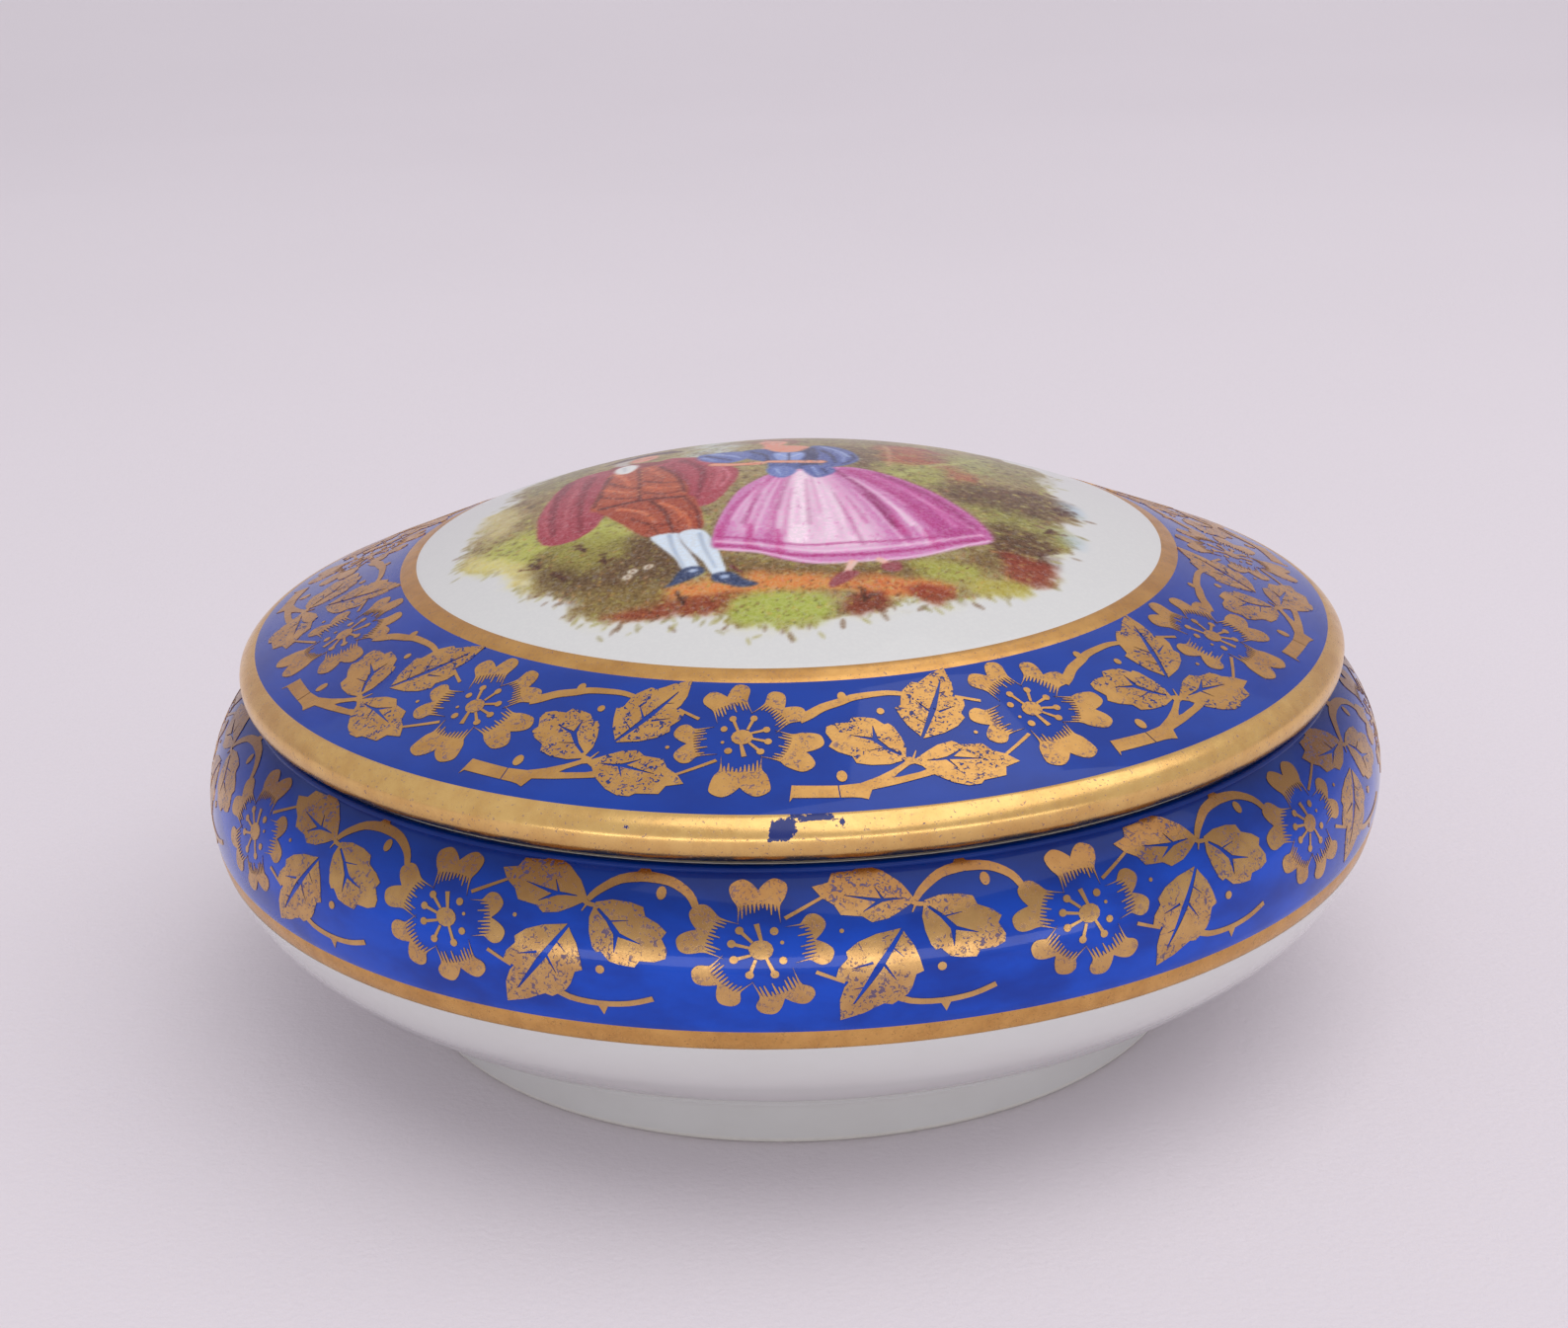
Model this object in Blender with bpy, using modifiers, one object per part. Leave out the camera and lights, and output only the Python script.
"""Round porcelain trinket box: a squat bowl on a foot ring and a domed lift-off lid.

The bowl and the lid are the two fired porcelain bodies. Each carries thin fired-on layers: a
cobalt ground and gilding, and on the lid a painted round medallion as well. Every layer is its
own closed ring or disc, let flush into a shallow recess in the body that carries it.

Lengths are in metres, +Z is up, and the origin is the centre of the foot on the table. The
lid's heights are measured from the seat of the bowl, where its parent empty stands.
"""
import math

import bpy
from mathutils import Vector

MM = 0.001

# ---- bowl -----------------------------------------------------------------------------------
FOOT_RADIUS = 33.4 * MM
FOOT_HEIGHT = 4.2 * MM
FOOT_WIDTH = 2.8 * MM
FOOT_ROUND = 0.6 * MM
FOOT_DRAFT = 0.8 * MM
UNDERSIDE_RISE = 2.4 * MM
CREASE = 0.6 * MM
UNDERSIDE_PULL = (39.6 * MM, 6.2 * MM)
BELLY_RADIUS = 49.2 * MM
BELLY_HEIGHT = 19.8 * MM
TUCK_RADIUS = 11.1 * MM
TUCK_ANGLE = 49.0
SHOULDER_WIDTH = 8.0 * MM
SHOULDER_RISE = 9.5 * MM
SHOULDER_TOP = 28.1 * MM
SEAT_HEIGHT = 28.5 * MM
SEAT_ROUND = 0.5 * MM
LIP_OUTER = 40.4 * MM
LIP_WIDTH = 2.2 * MM
LIP_HEIGHT = 1.9 * MM
LIP_ROUND = 0.6 * MM
LIP_DEPTH = 1.2 * MM
BOWL_WALL = 2.9 * MM
LINE_BOTTOM = 16.4 * MM
LINE_TOP = 17.9 * MM

# ---- lid, heights above the seat --------------------------------------------------------------
APEX = 15.7 * MM
DOME_RADIUS = 79.0 * MM
RING_INNER = 30.9 * MM
BAND_INNER = 32.3 * MM
BAND_OUTER = 44.5 * MM
BAND_OUTER_HEIGHT = 3.7 * MM
RIM_CENTRE = 44.4 * MM
RIM_HEIGHT = 2.0 * MM
RIM_BULGE = 1.5 * MM
RIM_HALF_HEIGHT = 1.7 * MM
RIM_INNER = 41.0 * MM
GILDED_RIM_START = 78.0
GILDED_RIM_END = -55.0
RIM_END_GAP = 12.0
LID_WALL = 2.6 * MM
HOLLOW_STEP = 0.2 * MM
LID_TRAVEL = 40.0 * MM

# ---- layers and fits ----------------------------------------------------------------------------
LAYER = 0.40 * MM
GAP = 0.30 * MM
TURNS = 48
WELD = 0.00001

COBALT = (0.012, 0.045, 0.42)
PORCELAIN = (0.80, 0.79, 0.76)
BURNISHED_GOLD = (0.83, 0.52, 0.16)
SATIN_GOLD = (0.52, 0.31, 0.11)
PAINTED_WHITE = (0.78, 0.76, 0.70)


def clear_scene():
    """Remove every object of the open scene."""
    for obj in list(bpy.data.objects):
        bpy.data.objects.remove(obj, do_unlink=True)


def make_material(name, colour, roughness, metallic):
    """Return a Principled BSDF material."""
    material = bpy.data.materials.new(name)
    material.use_nodes = True
    shader = material.node_tree.nodes["Principled BSDF"]
    shader.inputs["Base Color"].default_value = (*colour, 1.0)
    shader.inputs["Roughness"].default_value = roughness
    shader.inputs["Metallic"].default_value = metallic
    material.diffuse_color = (*colour, 1.0)
    return material


# ---- outlines: lists of (radius, height) that run down or out along an outer side ---------------
def arc(centre, radii, start, end, steps):
    """Return points along an elliptic arc; angles are in degrees, 0 is outwards and 90 is up."""
    points = []
    for i in range(steps + 1):
        angle = math.radians(start + (end - start) * i / steps)
        points.append((centre[0] + radii[0] * math.cos(angle),
                       centre[1] + radii[1] * math.sin(angle)))
    return points


def spread(start, end, steps):
    """Return evenly spaced values from start to end."""
    return [start + (end - start) * i / steps for i in range(steps + 1)]


def bezier(start, control, end, steps):
    """Return points along a quadratic curve."""
    points = []
    for t in spread(0.0, 1.0, steps):
        weights = ((1.0 - t) ** 2, 2.0 * t * (1.0 - t), t ** 2)
        points.append(tuple(sum(w * p[k] for w, p in zip(weights, (start, control, end)))
                            for k in (0, 1)))
    return points


def inwards(points, distance):
    """Return an outline moved into the material by a distance, square to its run."""
    moved = []
    for i, (radius, height) in enumerate(points):
        before = points[max(i - 1, 0)]
        after = points[min(i + 1, len(points) - 1)]
        run = Vector((after[0] - before[0], after[1] - before[1])).normalized()
        moved.append((max(radius + run.y * distance, 0.0), height - run.x * distance))
    return moved


def belly_radius(height):
    """Return the bowl's outer radius between the tuck above the foot and the shoulder's top."""
    if height >= BELLY_HEIGHT:
        share = (height - BELLY_HEIGHT) / SHOULDER_RISE
        return BELLY_RADIUS - SHOULDER_WIDTH * (1.0 - math.sqrt(1.0 - share ** 2))
    share = (BELLY_HEIGHT - height) / TUCK_RADIUS
    return BELLY_RADIUS - TUCK_RADIUS * (1.0 - math.sqrt(1.0 - share ** 2))


def belly(top, bottom, steps):
    """Return the bowl's outer side between two heights."""
    return [(belly_radius(z), z) for z in spread(top, bottom, steps)]


def tuck_end():
    """Return the height where the belly's lower arc gives way to the flatter underside."""
    return BELLY_HEIGHT - TUCK_RADIUS * math.sin(math.radians(TUCK_ANGLE))


def underside():
    """Return the stretch from the lower belly in to the crease above the foot."""
    start = (belly_radius(tuck_end()), tuck_end())
    crease = (FOOT_RADIUS + CREASE, FOOT_HEIGHT)
    return bezier(start, UNDERSIDE_PULL, crease, 4)[1:]


def lid_height(radius):
    """Return the lid's outer height above the seat, over the dome and the sloping band."""
    dome = APEX - DOME_RADIUS + math.sqrt(DOME_RADIUS ** 2 - min(radius, BAND_INNER) ** 2)
    if radius <= BAND_INNER:
        return dome
    share = (radius - BAND_INNER) / (BAND_OUTER - BAND_INNER)
    return dome + (BAND_OUTER_HEIGHT - dome) * share


def crown(inner, outer, steps):
    """Return the lid's outer side between two radii."""
    return [(r, lid_height(r)) for r in spread(inner, outer, steps)]


def bead(start, end, steps):
    """Return the round outer edge of the lid between two angles."""
    return arc((RIM_CENTRE, RIM_HEIGHT), (RIM_BULGE, RIM_HALF_HEIGHT), start, end, steps)


# ---- solids ---------------------------------------------------------------------------------------
def turned(name, outline, material, collection, parent=None):
    """Turn an outline about Z with a Screw modifier.

    An outline that starts and ends on the axis stays open and makes a solid; any other is closed
    and makes a ring.
    """
    edges = [(i, i + 1) for i in range(len(outline) - 1)]
    if outline[0][0] > 0.0:
        edges.append((len(outline) - 1, 0))
    mesh = bpy.data.meshes.new(name)
    mesh.from_pydata([(radius, 0.0, height) for radius, height in outline], edges, [])
    mesh.materials.append(material)
    obj = bpy.data.objects.new(name, mesh)
    collection.objects.link(obj)
    obj.parent = parent
    screw = obj.modifiers.new("turn", "SCREW")
    screw.steps = TURNS
    screw.render_steps = TURNS
    screw.use_merge_vertices = True
    screw.merge_threshold = WELD
    screw.use_smooth_shade = True
    return obj


def layer(name, side, material, collection, parent=None):
    """Make a thin fired-on layer whose outer face is a stretch of its body's outer side."""
    back = inwards(side, LAYER)[::-1]
    return turned(name, side + back, material, collection, parent)


def recess(side):
    """Return the floor of the recess that layers on a stretch of side lie in, with its steps."""
    return [side[0]] + inwards(side, LAYER + GAP) + [side[-1]]


def make_bowl(material, collection):
    """Make the bowl: hollow inside, locating lip, seat for the lid, belly and foot ring."""
    lip_inner = LIP_OUTER - LIP_WIDTH
    lip_top = SEAT_HEIGHT + LIP_HEIGHT
    inner_side = belly(SHOULDER_TOP - BOWL_WALL, tuck_end(), 6) + underside()
    inside = inwards(inner_side, BOWL_WALL)[::-1]
    inside = [(0.0, inside[0][1])] + inside
    lip = [(lip_inner, SEAT_HEIGHT - LIP_DEPTH),
           (lip_inner, lip_top - LIP_ROUND),
           (lip_inner + LIP_ROUND, lip_top),
           (LIP_OUTER - LIP_ROUND, lip_top),
           (LIP_OUTER, lip_top - LIP_ROUND),
           (LIP_OUTER, SEAT_HEIGHT),
           (belly_radius(SHOULDER_TOP) - SEAT_ROUND, SEAT_HEIGHT)]
    outside = recess(belly(SHOULDER_TOP, LINE_BOTTOM, 8))
    outside += belly(LINE_BOTTOM, tuck_end(), 3)[1:] + underside()
    foot_inner = FOOT_RADIUS - FOOT_WIDTH
    foot = [(FOOT_RADIUS, FOOT_HEIGHT - CREASE),
            (FOOT_RADIUS, FOOT_ROUND),
            (FOOT_RADIUS - FOOT_ROUND, 0.0),
            (foot_inner + FOOT_ROUND, 0.0),
            (foot_inner, FOOT_ROUND),
            (foot_inner - FOOT_DRAFT, UNDERSIDE_RISE),
            (0.0, UNDERSIDE_RISE)]
    return turned("bowl", inside + lip + outside + foot, material, collection)


def make_lid(material, collection, parent):
    """Make the lid: a domed shell with a thick round edge and a hollow underside."""
    outside = recess(crown(0.0, BAND_OUTER, 11) + bead(60.0, GILDED_RIM_END, 5))[1:]
    outside += bead(GILDED_RIM_END, -90.0, 2)[1:]
    bottom = RIM_HEIGHT - RIM_HALF_HEIGHT
    edge = [(RIM_INNER + SEAT_ROUND, bottom), (RIM_INNER, bottom + SEAT_ROUND)]
    hollow = inwards(crown(0.0, RIM_INNER, 8), LID_WALL)
    hollow.append((RIM_INNER, lid_height(RIM_INNER) - LID_WALL - HOLLOW_STEP))
    return turned("lid", outside + edge + hollow[::-1], material, collection, parent)


def main():
    """Build both bodies and the layers fired onto them."""
    clear_scene()
    collection = bpy.data.collections.new("porcelain_trinket_box")
    bpy.context.scene.collection.children.link(collection)
    bowl_porcelain = make_material("bowl_porcelain", PORCELAIN, 0.12, 0.0)
    lid_porcelain = make_material("lid_porcelain", PORCELAIN, 0.12, 0.0)
    bowl_cobalt = make_material("bowl_cobalt", COBALT, 0.10, 0.0)
    lid_cobalt = make_material("lid_cobalt", COBALT, 0.10, 0.0)
    line_gold = make_material("line_gold", SATIN_GOLD, 0.40, 1.0)
    ring_gold = make_material("ring_gold", SATIN_GOLD, 0.40, 1.0)
    rim_gold = make_material("rim_gold", BURNISHED_GOLD, 0.18, 1.0)
    painting = make_material("medallion_painting", PAINTED_WHITE, 0.12, 0.0)

    make_bowl(bowl_porcelain, collection)
    layer("bowl_cobalt_ground", belly(SHOULDER_TOP - GAP, LINE_TOP + GAP / 2, 7),
          bowl_cobalt, collection)
    layer("bowl_gilt_line", belly(LINE_TOP - GAP / 2, LINE_BOTTOM + GAP, 1),
          line_gold, collection)

    carrier = bpy.data.objects.new("lid_axis", None)
    carrier.location = (0.0, 0.0, SEAT_HEIGHT)
    carrier["lift_travel"] = LID_TRAVEL
    collection.objects.link(carrier)
    make_lid(lid_porcelain, collection, carrier)
    layer("lid_medallion", crown(0.0, RING_INNER - GAP / 2, 8), painting, collection, carrier)
    layer("lid_gilt_ring", crown(RING_INNER + GAP / 2, BAND_INNER - GAP / 2, 1),
          ring_gold, collection, carrier)
    layer("lid_cobalt_ground", crown(BAND_INNER + GAP / 2, BAND_OUTER - GAP / 2, 3),
          lid_cobalt, collection, carrier)
    layer("lid_gilt_rim", bead(GILDED_RIM_START, GILDED_RIM_END + RIM_END_GAP, 6), rim_gold, collection, carrier)


if __name__ == "__main__":
    main()
